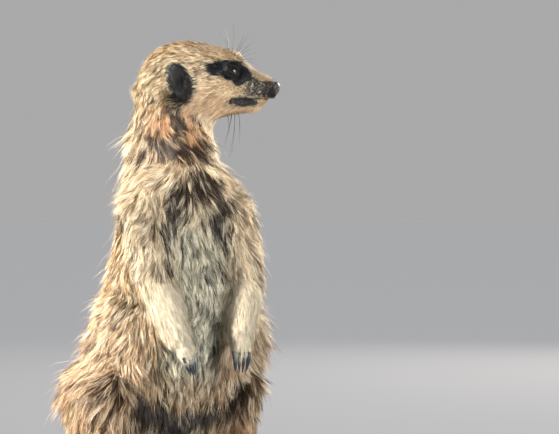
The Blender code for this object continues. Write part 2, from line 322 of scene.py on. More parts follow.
def refineHead(mesh):
    # halves the skin's edges over the face and ears, twice around the eyes and mouth
    bm = bmesh.new()
    bm.from_mesh(mesh)
    for startAt, ears in ((17.0, True), (24.0, False)):
        at = headPlace(np.array([v.co for v in bm.verts]))
        ends = np.array([(e.verts[0].index, e.verts[1].index) for e in bm.edges])
        forward, left, up = ((at[ends[:, 0]] + at[ends[:, 1]]) / 2).T
        chosen = (forward > startAt) & (np.abs(left) < 26) & (up > -24) & (up < 22)
        if ears:
            chosen |= (np.abs(forward) < 10) & (np.abs(left) > 22) & (np.abs(up) < 15)
        bm.edges.ensure_lookup_table()
        edges = [bm.edges[k] for k in np.flatnonzero(chosen)]
        bmesh.ops.subdivide_edges(bm, edges=edges, cuts=1, use_grid_fill=True)
        bm.verts.index_update()
    bmesh.ops.triangulate(bm, faces=[f for f in bm.faces if len(f.verts) > 4])
    bm.to_mesh(mesh)
    bm.free()


facePiece = dict(
    eyeRadius=5.0,
    gaze=(0.40, 0.90, 0.12),  # forward, out, up
    slant=25.0,               # degrees that the eye's front corner dips
    halfWidth=4.1,            # of the opening between the lids
    upperLid=2.35,
    lowerLid=2.0,
    lidRadius=5.42,
    mouthBack=28.0,
    mouthLevel=-7.4,
    mouthDepth=1.0,
    hiddenRadius=4.1,         # of the skin inside the eyeball
    # swellings of the whisker pads, brows and cheekbones, and the hollow beside the nose:
    # height, then the middle and reach forward, out and up
    swellings=(
        (0.55, 43, 5, 7, 4, -3.4, 3.2), (0.9, 29, 7, 11, 4, 15.5, 2.6),
        (0.6, 25, 7, 18, 5, -1.5, 3.5), (-0.5, 41, 5, 7, 3, 3.0, 2.0),
    ),
)


def eyeAxes(sign):
    # the way the eye looks, its long axis and its upright axis, in the head's axes
    settings = facePiece
    forward, out, up = settings["gaze"]
    gaze = unit(np.array((forward, out * sign, up)))
    long = unit(np.array((1.0, 0.0, 0.0)) - gaze * gaze[0])
    high = np.cross(gaze, long) * sign
    high = high if high[2] > 0 else -high
    slant = math.radians(settings["slant"])
    level, dip = math.cos(slant), math.sin(slant)
    return gaze, long * level - high * dip, high * level + long * dip


def lidEdge(along):
    # heights of the upper and lower lid at shares of the opening's half width
    open = np.maximum(1 - along**2, 0)
    settings = facePiece
    return settings["upperLid"] * open**0.75, -settings["lowerLid"] * open**0.85


def eyeOpening(place, side):
    # how far outside the opening each point is, seen along the gaze, and where it is from the eye
    frameOfEye = np.stack(eyeAxes(sideSigns[side]))
    away = (place - headPlace(eyeAt[side])) @ frameOfEye.T
    front, along, height = away.T
    along = along / facePiece["halfWidth"]
    upper, lower = lidEdge(np.clip(along, -1, 1))
    beyond = np.abs(height) - np.where(height > 0, upper, -lower)
    corner = np.hypot((np.abs(along) - 1) * facePiece["halfWidth"], height)
    outside = np.where(np.abs(along) < 1, beyond, corner)
    near = (front > -5) & (np.linalg.norm(away, axis=1) < 13)
    return np.where(near, outside, 9), away, frameOfEye


def sculptHead(mesh, at, part):
    settings = facePiece
    place = headPlace(at)
    head = part("head")
    normals = vertexNormals(at, triangles(mesh)) @ headAxes.T
    forward, left, up = place.T
    wide = np.abs(left)
    # lips, whisker pads, brows and cheekbones
    lipLine = settings["mouthLevel"] - 0.5 * bump(forward, 36, 7)
    open = ramp(forward, settings["mouthBack"], settings["mouthBack"] + 5)
    push = -settings["mouthDepth"] * bump(up, lipLine, 0.55) * open
    push = push + 0.42 * bump(up, lipLine + 1.5, 1.1) * open + 0.3 * bump(up, lipLine - 1.6, 1.1) * open
    for height, f, fReach, w, wReach, u, uReach in settings["swellings"]:
        push = push + height * bump(forward, f, fReach) * bump(wide, w, wReach) * bump(up, u, uReach)
    place = place + normals * (push * head)[:, None]
    # the ears' hollows, with a fold along the front
    ear = part("ear")
    bowl = bump(forward, 1.6, 3.0) * bump(up, -0.5, 7.0) * (wide > 23)
    fold = bump(forward, 3.6 - 0.03 * (up - 2) ** 2, 1.0) * bump(up, 1.0, 6.0)
    place[:, 1] -= np.sign(left) * ear * (1.5 * bowl - 0.9 * fold)
    # lids: the skin domes out over each eyeball and stops at the opening
    for side in sideSigns:
        outside, away, frameOfEye = eyeOpening(place, side)
        beside = np.hypot(away[:, 1], away[:, 2])
        lid = settings["lidRadius"]
        edge = lid * 0.86
        dome = np.sqrt(np.maximum(lid**2 - np.minimum(beside, edge) ** 2, 0))
        dome -= 1.3 * np.maximum(beside - edge, 0)
        hidden = np.sqrt(np.maximum(settings["hiddenRadius"] ** 2 - beside**2, 0))
        front = np.maximum(away[:, 0], dome)
        front += (dome - front) * (1 - ramp(outside, 0.3, 1.8))
        front = np.where(outside < 0, hidden, front)
        change = np.where(outside < 8.5, front - away[:, 0], 0)
        place = place + change[:, None] * frameOfEye[0]
    return fromHead(place)


def wander(co, scale, seed):
    # smooth noise from a few waves, about -1 to 1, scale in metres
    waves = np.random.default_rng(seed)
    out = np.zeros(len(co))
    for _ in range(7):
        way = unit(waves.normal(size=3)) * 2 * math.pi / (scale * waves.uniform(0.6, 1.6))
        out += np.sin(co @ way + waves.uniform(0, 2 * math.pi))
    return out / 3.2


def lieOfCoat(co, normals, part, field):
    # the way the hair lies at every point of the skin
    ahead, aside, above = headPlace(co).T
    x, y, z = (co / mm).T
    flat = np.zeros(len(co))
    down = -upward
    droop = 0.2 + 0.9 * ramp(-ahead, -12, 18) + 0.3 * ramp(-above, -6, 12)
    around = 0.85 * ramp(ahead, -18, -4) - 0.3
    # trunk: out over the shoulders, straight down the belly, out from a whorl on each flank
    outward = np.stack([np.tanh((x - 2) / 12), flat, flat], -1)
    onChest = 0.8 * ramp(z, 140, 168)[:, None] * outward
    whorl = np.stack([np.where(x > 0, 23, -23), flat - 52, flat + 108], -1) * mm
    onFlank = unit(co - whorl) * 1.1 * (ramp(112 - z, 0, 16) * ramp(np.abs(x), 6, 16))[:, None]
    ways = dict(
        head=-headForward + down * droop[:, None] + np.sign(aside)[:, None] * headLeft * 0.25,
        ear=upward * 0.5 - headForward * 0.8,
        neck=down + headForward * around[:, None],
        trunk=down + rearward * 0.3 + onChest + onFlank,
    )
    front = ramp(-y, 8, 40)[:, None]
    for side, sign in sideSigns.items():
        across = np.array((sign, 0.0, 0.0))
        elbow = nodeMiddle("forearm_" + side)
        arm = unit(elbow - nodeMiddle("upper_arm_" + side))
        fore = unit(nodeMiddle("hand_" + side) - elbow)
        ways["upper_arm_" + side] = arm + rearward * 0.25 + across * 0.45
        ways["forearm_" + side] = fore + across * 0.12
        ways["hand_" + side] = fore * 0.6 + down * 0.5
        ways["thigh_" + side] = down + across * 0.35 * front + rearward * 0.6 * (1 - front)
        ways["shin_" + side] = down + across * 0.3
        ways["foot_" + side] = -rearward + down * 0.15
    lie = np.zeros_like(co)
    for name, way in ways.items():
        lie += part(name)[:, None] * unit(way)
    radius = co - (nodeMiddle("tail_middle")[0], nodeMiddle("tail_tip")[1], 0)
    along = unit(np.stack([radius[:, 1], -radius[:, 0], flat], -1))
    lie += part(*tailNodes)[:, None] * (along - upward * 0.08)
    for _ in range(4):
        lie = unit(lie - normals * (lie * normals).sum(1, keepdims=True))
        lie = field.spread(lie, 3)
    body = part("trunk", "neck", "thigh", "upper_arm")
    sway = np.stack([wander(co, 15 * mm, k) for k in (1, 2, 3)], -1)
    lie = lie + sway * (0.08 + 0.22 * body)[:, None]
    return unit(lie - normals * (lie * normals).sum(1, keepdims=True))


# Markings, in millimetres: places on the head are forward, out and up from between its ears,
# places on the body are across, forward and up from where it sits.
markPiece = dict(
    mottling=((12, 11), (5, 12), (2.2, 15)),    # size and seed of blotches, flecks and specks
    eyePatch=(
        (18.4, 8.6, 2.4), (22, 8.2, 4.1), (26.5, 8.0, 5.1), (30.5, 6.9, 6.0),
        (34, 5.3, 5.0), (36.8, 4.4, 3.2), (32.0, 2.2, 3.4),
    ),
    lips=((28, -8.8, 1.2), (32, -8.9, 2.7), (37, -9.3, 3.0), (41.5, -9.3, 1.9)),
    earFront=((-2, 8, 3), (3, 4, 4), (7.5, -1, 4.4), (6.5, -6, 4.4), (1, -10, 3.5)),
    backBands=22.0,
    chestBand=((0, 171, 8), (5, 168, 7.5), (11, 160, 6.5), (16, 150, 5.5), (19, 139, 4.5)),
    chestMiddle=3,
)


def strokes(across, up, spots, soft):
    # nearness to a row of round spots, joined as one soft-edged stroke
    deep = np.full(len(across), -99.0)
    for (a, b, c), (d, e, f) in zip(spots[:-1], spots[1:]):
        for share in np.linspace(0, 1, 5):
            reach = np.hypot(across - (a + (d - a) * share), up - (b + (e - b) * share))
            deep = np.maximum(deep, c + (f - c) * share - reach)
    return ramp(deep, -soft, soft)


def markings(co, part):
    # how dark, warm, pale and grey the coat is over the skin, each 0 to 1
    x, y, z = (co / mm).T
    ahead, aside, above = headPlace(co).T
    wide = np.abs(aside)
    broad = np.abs(x)
    blotch, fleck, speck = (wander(co, size * mm, seed) for size, seed in markPiece["mottling"])
    head, neck, trunk, ear = part("head"), part("neck"), part("trunk"), part("ear")
    arms, fore, tail = part("upper_arm"), part("forearm", "hand"), part(*tailNodes)
    thigh, shin, foot = part("thigh"), part("shin"), part("foot")
    front = ramp(-y, 28, 50)
    dark, warm, pale, grey = np.zeros((4, len(co)))
    # face: dark patches round the eyes, lips and snout, grizzled muzzle, warm jaw made paler in part as
    # painted light from below
    patch = strokes(ahead + 0.5 * fleck, above + 0.4 * fleck, markPiece["eyePatch"], 0.8) * (wide > 5.5)
    lips = strokes(ahead + 0.9 * speck, above + 0.7 * speck, markPiece["lips"], 1.3) * 0.92
    mouth = bump(above, -7.4, 0.8) * ramp(ahead, 28, 31) * 0.85
    snout = ramp(ahead, 42.5, 46.5) * ramp(3.4 - above, 0, 2.5) * ramp(above, -8.5, -6)
    bridgeTop = 9.5 - 0.55 * (ahead - 40)
    side = ramp(ahead, 31.5, 38) * ramp(bridgeTop - above, 2.8, 6.0) * ramp(above, -8.0, -5.5)
    grizzle = side * (0.72 + 0.12 * ramp(ahead, 38, 44) + 0.18 * speck)
    dark += head * most(patch, lips, mouth, snout * 0.86, grizzle)
    grey += head * most(patch, lips)
    byEar = strokes(ahead + 0.8 * fleck, above + 0.8 * fleck, markPiece["earFront"], 1.6)
    byEar = head * (byEar * ramp(wide, 15, 19)) * 0.8
    dark += byEar
    grey += byEar
    grey += head * most(side, 0.25 * ramp(wide, 10, 18) * ramp(above, -4, 6))
    jaw = ramp(-above, 3.5, 9) * ramp(ahead, -4, 8) * (1 - 0.6 * ramp(ahead, 38, 44))
    cheek = bump(ahead, 16, 10) * bump(above, -2, 7)
    brow = ramp(above, 14, 19) * bump(ahead, 24, 14)
    warm += head * most(jaw * 0.95, cheek * 0.45, brow * 0.6, 0.3 * ramp(above, 4, 20))
    bridge = ramp(ahead, 34, 40) * ramp(above - bridgeTop, -3.2, -0.6) * (1 - ramp(ahead, 48, 51)) * 0.8
    chin = ramp(ahead, 36, 43) * ramp(-above, 10, 12) * 0.85
    under = bump(ahead, 27, 6) * bump(above, -4.5, 2.2) * 0.8
    # the jaw's pale share is partly painted light thrown up from below, over its own warm colour
    pale += head * most(bridge, chin, under, 0.6 * jaw, 0.4 * cheek, 0.5 * brow)
    behind = ramp(-ahead, 4.5, 7.5) * (1 - ramp(wide, 26.5, 28))
    dark += ear * (1 - 0.8 * behind)
    grey += ear * (1 - behind)
    warm += ear * 0.8 * behind
    # neck: pale nape and throat, warm sides crossed by dark streaks
    nape, throat = ramp(-ahead, 10, 21), ramp(ahead, 9, 14.5)
    sides = (1 - nape) * (1 - throat)
    warm += neck * sides * (0.85 + 0.2 * blotch)
    pale += neck * np.clip(throat * 1.1 + nape * 0.1, 0, 1)
    streak = ramp(wander(co * (1, 1, 2.2), 13 * mm, 14), -0.1, 0.8)
    tuft = bump(ahead, -3, 4.5) * bump(above, -18, 5.5)
    dark += (neck + head) * tuft * (0.66 + 0.2 * fleck)
    band = bump(z, 189, 7.5) * sides * (0.82 + 0.25 * fleck)
    dark += neck * (sides * (streak * 0.9 + 0.08) + nape * 0.38) + (neck + trunk * 0.6) * band
    # trunk: dark breast band, grey belly, bands across the back, and painted shade beside the arms, in the
    # folds and under the belly
    acrossChest = np.abs(x - markPiece["chestMiddle"])
    breast = strokes(acrossChest + 2 * blotch, z + 2.5 * fleck, markPiece["chestBand"], 4.0)
    dark += (trunk + arms * 0.4) * front * breast * (0.86 + 0.25 * fleck)
    # painted shade on the belly along the far arm's inner edge
    farArmShade = bump(acrossChest, 13.5, 2.6) * ramp(152 - z, 0, 12) * ramp(z, 66, 80)
    dark += trunk * front * farArmShade * ramp(x, -4, 8) * 0.66
    # painted shadow of the near forearm on the belly
    nearArmShadow = bump(x, -8.5 + 0.31 * (115.5 - z), 4) * ramp(122 - z, 0, 10) * ramp(z, 70, 80)
    dark += trunk * front * nearArmShadow * 0.5
    belly = front * ramp(170 - z, 8, 26) * (1 - ramp(np.abs(x - 2), 14, 22))
    belly *= 1 - 0.85 * ramp(78 - z, 0, 16)
    grey += trunk * belly
    bib = front * bump(z, 176, 12) * bump(x, 8, 12)
    shoulder = ramp(z, 140, 156) * (1 - belly)
    pale += trunk * most(bib * 0.5, shoulder * 0.4) + arms * 0.45 + fore * 1.1
    back = ramp(y + 0.32 * (z - 100) + 4, -2, 12)
    bands = ramp(np.sin(z / markPiece["backBands"] * 2 * math.pi + 0.7 * blotch), -0.2, 0.7)
    dark += trunk * back * bands * 0.8 * ramp(z, 30, 60)
    low = ramp(110 - z, 0, 30)
    flank = trunk * (1 - belly)
    warm += flank * (0.2 + 0.35 * low)
    pale += flank * (0.2 * ramp(100 - z, -10, 10) * ramp(z, 58, 74))
    # painted shade in the fold between belly and thighs, over fur that is darker there too
    fold = bump(z, foldLevel(x) - 2, 5.5) * ramp(-y, 24, 40) * (1 - ramp(broad, 30, 42))
    dark += (trunk + 0.3 * thigh + shin) * fold * (0.6 + 0.25 * fleck)
    # painted shade along the fold on each flank
    flankFoldShade = bump(z, 103 - 0.02 * (broad - 24) ** 2, 4.5) * bump(broad, 29, 11) * front
    dark += trunk * flankFoldShade * 0.85
    # painted shade below the fold and between the thighs, deepest in the middle
    under = ramp(foldLevel(x) - z, -4, 6) * front
    middle = 1 - ramp(np.abs(x + 6), 16, 30)
    dark += (trunk + 0.5 * thigh + shin) * under * (0.26 + 0.95 * middle + 0.3 * blotch)
    # limbs and tail
    dark += arms * (ramp(blotch, 0.1, 0.9) * 0.6 + 0.35 * ramp(fleck, 0.3, 1))
    warm += arms * 0.15 + fore * 0.05 + thigh * 0.75 + shin * 0.75 + foot * 0.35 + tail * 0.4
    dark += thigh * (0.33 + 0.25 * ramp(fleck, 0.1, 0.9)) + flank * low * 0.12
    pale += foot * 0.45 + thigh * (0.15 + 0.25 * ramp(z, 50, 72))
    dark += part("tail_tip") * ramp(50 - y, -4, 24)
    return np.clip(np.stack([dark, warm, pale, grey], -1), 0, 1)


def roomForCoat(co):
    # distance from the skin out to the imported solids, which reach the tips of the coat
    meshes = [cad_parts[node].data for node in fleshNodes]
    solids, tris = joined([(points(mesh), triangles(mesh)) for mesh in meshes])
    tree = BVHTree.FromPolygons(solids.tolist(), tris.tolist())
    return np.array([tree.find_nearest(c)[3] for c in co.tolist()])


def coatFields(mesh, shares):
    # what the coat is like at every point of the skin
    part = partPicker(shares)
    co, tris = points(mesh), triangles(mesh)
    normals = vertexNormals(co, tris)
    field = MeshField(mesh)
    out = dict(co=co, tris=tris, normals=normals, lie=lieOfCoat(co, normals, part, field))
    out["marks"] = field.spread(markings(co, part), 1)
    for key in ("length", "width", "density", "lock"):
        out[key] = shares @ np.array([coatParts[kindOf(n)][key] for n in fleshNodes])

    def change(key, amount, where):
        out[key] *= 1 + amount * where

    place = headPlace(co)
    ahead, aside, above = place.T
    x, y, z = (co / mm).T
    head, neck, trunk = part("head"), part("neck"), part("trunk")
    muzzle = head * ramp(ahead, 20, 36)
    for key, amount in (("length", -0.7), ("width", -0.35), ("density", 1.2), ("lock", -0.5)):
        change(key, amount, muzzle)
    change("length", 0.7, head * ramp(-above, 9, 13) * ramp(ahead, 24, 34))
    for side in sideSigns:
        outside = eyeOpening(place, side)[0]
        out["length"] *= 0.26 + 0.74 * ramp(outside, 0.5, 6)
        out["density"] *= np.where(outside < 0.3, 0, 1 + 1.5 * (outside < 3))
    fromNose = (place - headPlace(noseAt)) / (3.6, 4.6, 4.4)
    out["density"] *= np.linalg.norm(fromNose, axis=1) > 1
    change("length", -0.4, part("ear") * (np.abs(aside) > 24.5) * bump(ahead, 1, 3.5))
    change("length", 0.45, part("hand") * ramp(83 - z, 0, 6))
    fringe = trunk * bump(z, 86, 26) * ramp(x, 20, 34) * ramp(y, -50, -24)
    change("length", 0.55, fringe)
    knee = part("thigh_left") * ramp(x, 30, 44) * ramp(z, 30, 50)
    change("length", -0.2, knee)
    belly = trunk * ramp(-y, 30, 54) * ramp(150 - z, 0, 20)
    out["length"] *= 1 - 0.2 * belly * (np.abs(x) < 16)
    ruff = part("neck", "head") * ramp(-ahead, 12, 24)
    change("length", 0.25, ruff)
    out["length"] *= 1 + 0.3 * neck * (1 - ramp(z, 188, 200))
    out["lift"] = 1 + 0.5 * ruff + 1.1 * fringe - 0.45 * knee
    out["lift"] -= 0.45 * trunk * bump(z, 184, 11)
    aboveFold = z - foldLevel(x)
    overFold = ramp(aboveFold, 0, 5) * (1 - ramp(aboveFold, 8, 16))
    out["lift"] += 0.4 * overFold * trunk
    tailWay = unit(nodeMiddle("tail_tip") - nodeMiddle("tail_middle"))
    tailEnd = part("tail_tip") * ramp(normals @ unit(tailWay * (1, 1, 0)), 0.1, 0.7)
    out["lift"] += 1.6 * tailEnd
    change("length", 0.9, tailEnd)
    out["room"] = field.spread(roomForCoat(co), 6)
    return out


coatPiece = dict(
    lockEvery=10,             # hairs to a lock, and fewer where the coat is short
    fullLock=6.5,             # millimetres of hair that make a full lock
    tuftEvery=140,            # hairs to the wider tufts that the locks fall into
    fill=0.68,                # how much of the room the middling hair takes up
    lengthSpread=0.2,
    liftSpread=0.28,
    turnSpreads=(0.13, 0.16, 0.2),  # of each hair, its lock and its tuft, in radians
    twistSpread=0.5,
    strayShare=0.02,
    strayLength=1.2,
    strayLift=1.5,
    strayWidth=0.7,
    rounding=0.45,            # of the shading across a hair
    longFrom=14.0,            # hairs over this many millimetres get one more bend
    patch=0.003,              # each hair's own spot on the bake's map
)


def sampleRoots(fields, wanted):
    # random roots, as many to a square millimetre as the coat asks for
    co, tris = fields["co"], fields["tris"]
    corner = co[tris]
    area = np.linalg.norm(np.cross(corner[:, 1] - corner[:, 0], corner[:, 2] - corner[:, 0]), axis=1) / 2
    total = np.cumsum(area / mm**2 * fields["density"][tris].mean(1) * wanted[tris].mean(1))
    count = int(total[-1])
    chosen = np.searchsorted(total, (np.arange(count) + rng.random(count)) / count * total[-1])
    chosen = np.minimum(chosen, len(tris) - 1)
    a, b = rng.random(count), rng.random(count)
    flip = a + b > 1
    a, b = np.where(flip, 1 - a, a), np.where(flip, 1 - b, b)
    return tris[chosen], np.stack([1 - a - b, a, b], -1)


def carried(values, corners, weights):
    picked = values[corners]
    if picked.ndim == 2:
        return (picked * weights).sum(1)
    return (picked * weights[:, :, None]).sum(1)


def leadersFor(roots, every):
    # a random few of the hairs lead, and each of the others follows the nearest
    count = len(roots)
    leaders = rng.choice(count, max(count // every, 1), replace=False)
    tree = KDTree(len(leaders))
    for k, c in enumerate(roots[leaders].tolist()):
        tree.insert(c, k)
    tree.balance()
    return leaders[np.array([tree.find(c)[1] for c in roots.tolist()])]


def growCoat(name, fields, wanted, skinUV):
    settings = coatPiece
    corners, weights = sampleRoots(fields, wanted)
    count = len(corners)
    here = {key: carried(fields[key], corners, weights) for key in fields if key != "tris"}
    root, normal, lie, lock = here["co"], unit(here["normals"]), here["lie"], here["lock"]
    length, width = here["length"] * mm, here["width"] * mm
    middling = np.median(length)
    every = max(5, int(settings["lockEvery"] * min(1, middling / (settings["fullLock"] * mm))))
    leader, tuft = leadersFor(root, every), leadersFor(root, settings["tuftEvery"])
    lie = unit(lie - normal * (lie * normal).sum(1, keepdims=True))
    own, locks, tufts = (rng.normal(0, spread, count) for spread in settings["turnSpreads"])
    turn = own + (locks[leader] + tufts[tuft]) * lock * 1.6
    lie = unit(lie + np.cross(normal, lie) * turn[:, None])
    side = np.cross(normal, lie)
    spread = settings["liftSpread"]
    lift = np.arcsin(np.clip(settings["fill"] * here["room"] / length, 0.2, 0.85)) * here["lift"]
    lift *= (1 + rng.normal(0, spread * 0.6, count) + rng.normal(0, spread, count)[leader]).clip(0.3, 2)
    grown = length * (1 + rng.normal(0, settings["lengthSpread"], count)).clip(0.45, 1.4)
    grown *= (1 + rng.normal(0, 0.12, count)[leader]).clip(0.7, 1.3)
    stray = rng.random(count) < settings["strayShare"]
    grown = np.where(stray, grown * settings["strayLength"], grown)
    lift = np.where(stray, lift * settings["strayLift"] + 0.12, lift)
    width = np.where(stray, width * settings["strayWidth"], width)
    steps = 3 if middling > settings["longFrom"] * mm else 2
    at = np.linspace(0, 1, steps + 1)
    start, end = np.minimum(lift * 1.6, 1.35), lift * 0.4
    path = np.zeros((count, steps + 1, 3))
    path[:, 0] = root - normal * np.minimum(0.03 * length, 0.25 * mm)[:, None]
    for k in range(steps):
        angle = start + (end - start) * (at[k] + at[k + 1]) / 2
        step = lie * np.cos(angle)[:, None] + normal * np.sin(angle)[:, None]
        path[:, k + 1] = path[:, k] + step * (grown / steps)[:, None]
    # each hair leans towards the tip of its lock, and a little towards its tuft's
    for lead, share in ((leader, 1.0), (tuft, 0.25)):
        pull = np.where(stray, 0.15, rng.uniform(0.7, 1.2, count)) * lock * share
        shift = path[lead, -1] - path[:, -1]
        reach = np.linalg.norm(shift, axis=1)
        shift *= np.minimum(1, 0.45 * grown / np.maximum(reach, 1e-9))[:, None]
        for k in range(1, steps + 1):
            path[:, k] += shift * (pull.clip(0, 0.95) * at[k] ** 1.5)[:, None]
    path[:, :, 2] = np.maximum(path[:, :, 2], 0.35 * mm)
    # a ribbon: pairs of points that narrow to one at the tip
    twist = rng.normal(0, settings["twistSpread"], count)
    flat = side * np.cos(twist)[:, None] + normal * np.sin(twist)[:, None]
    per = 2 * steps + 1
    co = np.zeros((count, per, 3))
    taper = (1.0, 0.86, 0.6) if steps > 2 else (1.0, 0.75)
    for k in range(steps):
        half = flat * (width * 0.5 * taper[k])[:, None]
        co[:, 2 * k] = path[:, k] - half
        co[:, 2 * k + 1] = path[:, k] + half
    co[:, -1] = path[:, -1]
    pattern = []
    for k in range(0, 2 * steps - 2, 2):
        pattern += [(k, k + 3, k + 1), (k, k + 2, k + 3)]
    pattern.append((per - 3, per - 1, per - 2))
    faces = (np.arange(count)[:, None, None] * per + np.array(pattern)[None]).reshape(-1, 3)
    mesh = meshFrom(name, co.reshape(-1, 3), faces)
    # soft shading: normals that follow the body, rounded across each hair
    way = unit(path[:, 1:] - path[:, :-1])
    way = np.concatenate([way[:, :1], way], 1)
    soft = unit(normal[:, None] - way * (normal[:, None] * way).sum(-1, keepdims=True) * 0.85)
    shading = np.repeat(soft[:, :-1], 2, axis=1)
    shading[:, 1::2] += flat[:, None] * settings["rounding"]
    shading[:, 0::2] -= flat[:, None] * settings["rounding"]
    shading = unit(np.concatenate([shading, soft[:, -1:]], 1))
    setAttribute(mesh, "custom_normal", "FLOAT_VECTOR", shading.reshape(-1, 3))
    alongHair = np.append(np.repeat(at[:-1], 2), 1.0)
    tone, lockTone = rng.random(count), rng.random(count)[leader]
    lockTone = tone + (lockTone - tone) * np.clip(lock * 2.6, 0.5, 1)
    strand = [np.tile(alongHair, count), np.repeat(tone, per), np.repeat(lockTone, per)]
    setAttribute(mesh, "strand", "FLOAT_VECTOR", np.stack(strand, -1))
    setAttribute(mesh, "marks", "FLOAT_COLOR", np.repeat(here["marks"], per, axis=0))
    sideways = np.append(np.tile([-0.5, 0.5], steps), 0.0)
    spot = np.stack([sideways, alongHair - 0.5], -1)[None] * settings["patch"]
    spot = carried(skinUV, corners, weights)[:, None, :] + spot
    spot = spot.reshape(-1, 2)[faces.ravel()].astype(np.float32)
    mesh.uv_layers.new(name="OFBake").data.foreach_set("uv", spot.ravel())
    print("coat", name, count, "hairs,", len(faces), "triangles")
    return addObject(name, mesh)


def newMaterial(name):
    material = bpy.data.materials.new(name)
    material.use_nodes = True
    tree = material.node_tree
    return material, tree, tree.nodes["Principled BSDF"]


def feed(tree, node, values):
    # sets a node's sockets to numbers or colours, or joins them to other sockets
    for key, value in values.items():
        socket = node.inputs[key]
        if hasattr(value, "links"):
            tree.links.new(value, socket)
        else:
            socket.default_value = (*value, 1) if isinstance(value, tuple) else value


def put(tree, kind, values=None, **properties):
    node = tree.nodes.new(kind)
    for key, value in properties.items():
        setattr(node, key, value)
    feed(tree, node, values or {})
    return node


def mixColour(tree, share, first, second):
    return put(tree, "ShaderNodeMix", {0: share, 6: first, 7: second}, data_type="RGBA").outputs[2]


def maths(tree, operation, *values):
    return put(tree, "ShaderNodeMath", dict(enumerate(values)), operation=operation).outputs[0]


def ramped(tree, value, low, high):
    limits = {"Value": value, "From Min": low, "From Max": high}
    return put(tree, "ShaderNodeMapRange", limits, interpolation_type="SMOOTHSTEP").outputs["Result"]


coatColours = dict(
    fawn=(0.36, 0.235, 0.10),
    grey=(0.38, 0.37, 0.28),
    warm=(0.42, 0.20, 0.075),
    pale=(0.68, 0.60, 0.46),
    black=(0.006, 0.008, 0.012),
    brown=(0.028, 0.016, 0.009),
    tick=(0.012, 0.008, 0.006),
    # darker near the root: the underfur's own colour, with painted shade deep in the coat
    rootShade=(0.045, 0.029, 0.017),
    tipLight=(0.86, 0.78, 0.60),
    ownTone=0.32,             # of a hair's shade: its own share, its lock's and the mottling's
    lockTone=0.76,
    mottleTone=0.26,
    mottleScale=110.0,
    roughness=0.52,
    specular=0.28,
    throughShare=0.16,        # of light that passes through a hair
)


def coatMaterial(name, isHair):
    colours = coatColours
    material, tree, shader = newMaterial(name)
    marks = put(tree, "ShaderNodeAttribute", attribute_name="marks").outputs
    strand = put(tree, "ShaderNodeAttribute", attribute_name="strand").outputs["Vector"]
    dark, warm, pale = put(tree, "ShaderNodeSeparateColor", {0: marks["Color"]}).outputs
    along, tone, lock = put(tree, "ShaderNodeSeparateXYZ", {0: strand}).outputs
    noise = {"Scale": colours["mottleScale"], "Detail": 3.0, "Roughness": 0.6}
    noise["Vector"] = put(tree, "ShaderNodeTexCoord").outputs["Object"]
    mottle = put(tree, "ShaderNodeTexNoise", noise).outputs["Fac"]

    def times(first, second):
        return maths(tree, "MULTIPLY", first, second)

    blend = maths(tree, "ADD", times(tone, colours["ownTone"]), times(lock, colours["lockTone"]))
    blend = maths(tree, "ADD", blend, times(mottle, colours["mottleTone"]))
    # some hairs are tipped black and some cream, as a grizzled coat's are
    tipward = ramped(tree, along, 0.2, 0.6)
    cream = times(ramped(tree, blend, 0.66, 0.88), tipward)
    cream = times(cream, maths(tree, "SUBTRACT", 0.85, times(warm, 0.55)))
    ticked = times(ramped(tree, blend, 0.60, 0.40), tipward)
    ticked = times(ticked, maths(tree, "MULTIPLY_ADD", pale, -0.5, 0.9))
    # painted shade deep in the coat near each hair's root, over underfur that is darker too
    rootward = times(ramped(tree, along, 0.42, 0.0), 0.8)
    darkHair = maths(tree, "SUBTRACT", times(dark, 1.15), times(blend, 0.9))
    darkest = mixColour(tree, marks["Alpha"], colours["brown"], colours["black"])
    colour = colours["fawn"]
    for share, over in (
        (warm, colours["warm"]), (pale, colours["pale"]), (marks["Alpha"], colours["grey"]),
        (cream, colours["tipLight"]), (ticked, colours["tick"]), (rootward, colours["rootShade"]),
        (ramped(tree, darkHair, -0.21, 0.26), darkest),
    ):
        colour = mixColour(tree, share, colour, over)
    feed(tree, shader, {"Base Color": colour, "Roughness": colours["roughness"]})
    feed(tree, shader, {"Specular IOR Level": colours["specular"]})
    if isHair:
        through = put(tree, "ShaderNodeBsdfTranslucent", {"Color": colour}).outputs[0]
        sides = {0: colours["throughShare"], 1: shader.outputs[0], 2: through}
        mixed = put(tree, "ShaderNodeMixShader", sides)
        feed(tree, tree.nodes["Material Output"], {"Surface": mixed.outputs[0]})
    return material


def glossyMaterial(name, first, second, roughness, bumps=0.0, grain=900.0, shine=0.5):
    # two colours shared out by the piece's own "shade" values, with fine bumps
    material, tree, shader = newMaterial(name)
    shade = put(tree, "ShaderNodeAttribute", attribute_name="shade").outputs["Fac"]
    place = put(tree, "ShaderNodeTexCoord").outputs["Object"]
    noise = put(tree, "ShaderNodeTexNoise", {"Vector": place, "Scale": grain, "Detail": 2.0}).outputs["Fac"]
    varied = mixColour(tree, shade, first, second)
    darker = mixColour(tree, ramped(tree, noise, 0.35, 0.75), varied, tuple(c * 0.55 for c in first))
    feed(tree, shader, {"Base Color": mixColour(tree, 0.35, varied, darker), "Roughness": roughness})
    feed(tree, shader, {"Specular IOR Level": shine})
    if bumps:
        ripple = put(tree, "ShaderNodeBump", {"Strength": 0.5, "Distance": bumps, "Height": noise})
        feed(tree, shader, {"Normal": ripple.outputs["Normal"]})
    return material


eyePiece = dict(
    rings=72,
    sides=96,
    irisReach=33.0,           # degrees from the middle of the gaze
    pupilReach=(17.0, 12.5),  # along and across
    bulge=0.28,               # of the cornea, in millimetres
    iris=(0.005, 0.0035, 0.003),
    irisEdge=(0.003, 0.0025, 0.0025),
    white=(0.005, 0.005, 0.006),
    pupil=(0.002, 0.002, 0.002),
    shine={
        "Roughness": 0.1, "Specular IOR Level": 0.12, "Coat Weight": 0.4, "Coat Roughness": 0.03,
    },
)


